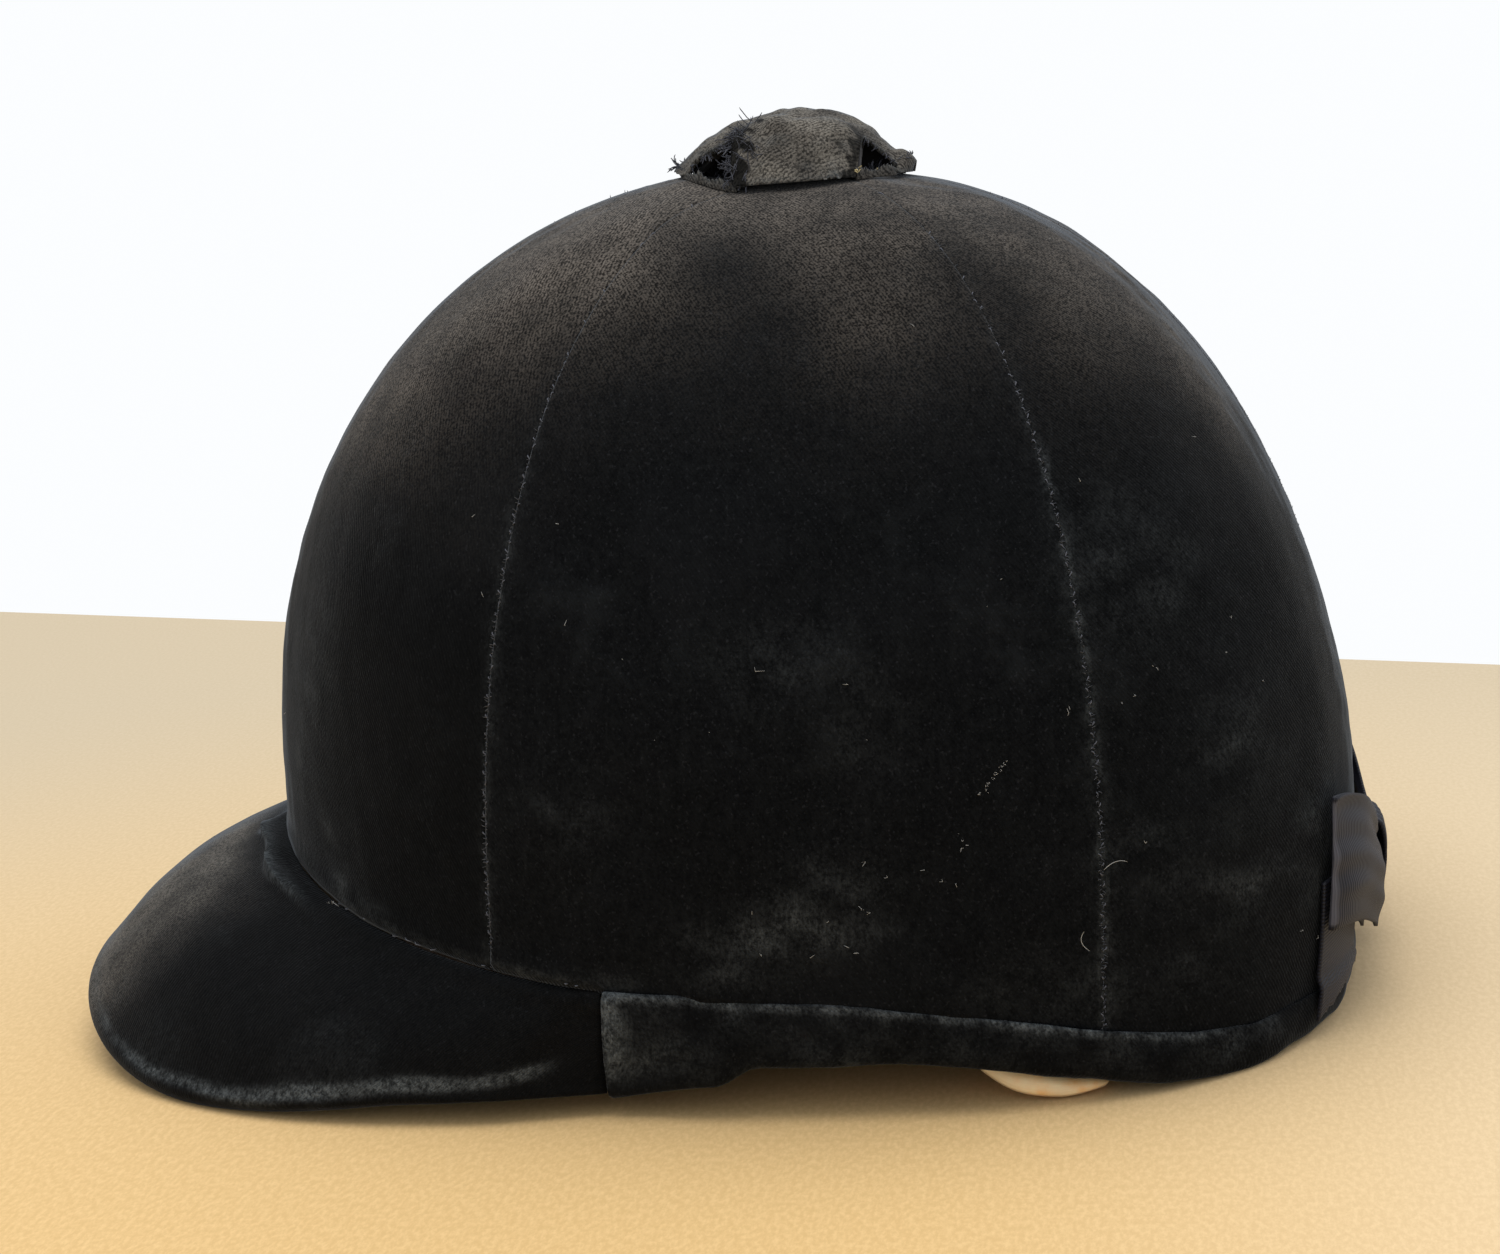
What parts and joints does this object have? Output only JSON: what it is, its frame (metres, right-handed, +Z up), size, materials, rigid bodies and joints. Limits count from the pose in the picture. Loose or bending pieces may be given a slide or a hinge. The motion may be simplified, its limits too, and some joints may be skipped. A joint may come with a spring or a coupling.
{
  "type": "velvet hunt cap",
  "caption": "Velvet-covered riding cap with a hard domed crown, a curved peak, a vented button on top and a flat ribbon bow at the rear.",
  "frame": {"origin": "middle of the head opening, on the plane that the cap stands on", "axes": "-Y to the front, where the peak is, +X to the wearer's left, +Z up to the button"},
  "size_m": [0.2016, 0.289, 0.1875],
  "materials": {
    "shell_board": "matt hardened shell, edges bare",
    "velvet": "short cotton pile, worn on the crown",
    "underlining": "plain woven cotton",
    "ribbon": "ribbed grosgrain",
    "buckram": "stiffened open weave",
    "brass": "tarnished",
    "foam": "open-cell foam",
    "satin": "quilted satin, aged amber",
    "leather": "smooth, darkened by wear"
  },
  "bodies": {
    "root": {"shell": "shell_board", "peak_board": "shell_board", "gore_front_left": "velvet", "gore_front_right": "velvet", "gore_side_left": "velvet", "gore_side_right": "velvet", "gore_rear_left": "velvet", "gore_rear_right": "velvet", "peak_cover": "velvet", "peak_underlining": "underlining", "rim_band": "velvet", "brow_binding": "ribbon", "vent_eyelet": "brass", "button_core": "buckram", "button_cover": "velvet", "bow_loop_left": "ribbon", "bow_loop_right": "ribbon", "bow_tail_left": "ribbon", "bow_tail_right": "ribbon", "bow_knot": "ribbon", "crown_pad": "foam", "fitting_pad": "foam", "lining_front_left": "satin", "lining_front_right": "satin", "lining_side_left": "satin", "lining_side_right": "satin", "lining_rear_left": "satin", "lining_rear_right": "satin", "lining_patch": "satin", "lining_fold": "satin", "sweatband": "leather", "sweatband_bow": "ribbon"}
  },
  "joints": []
}
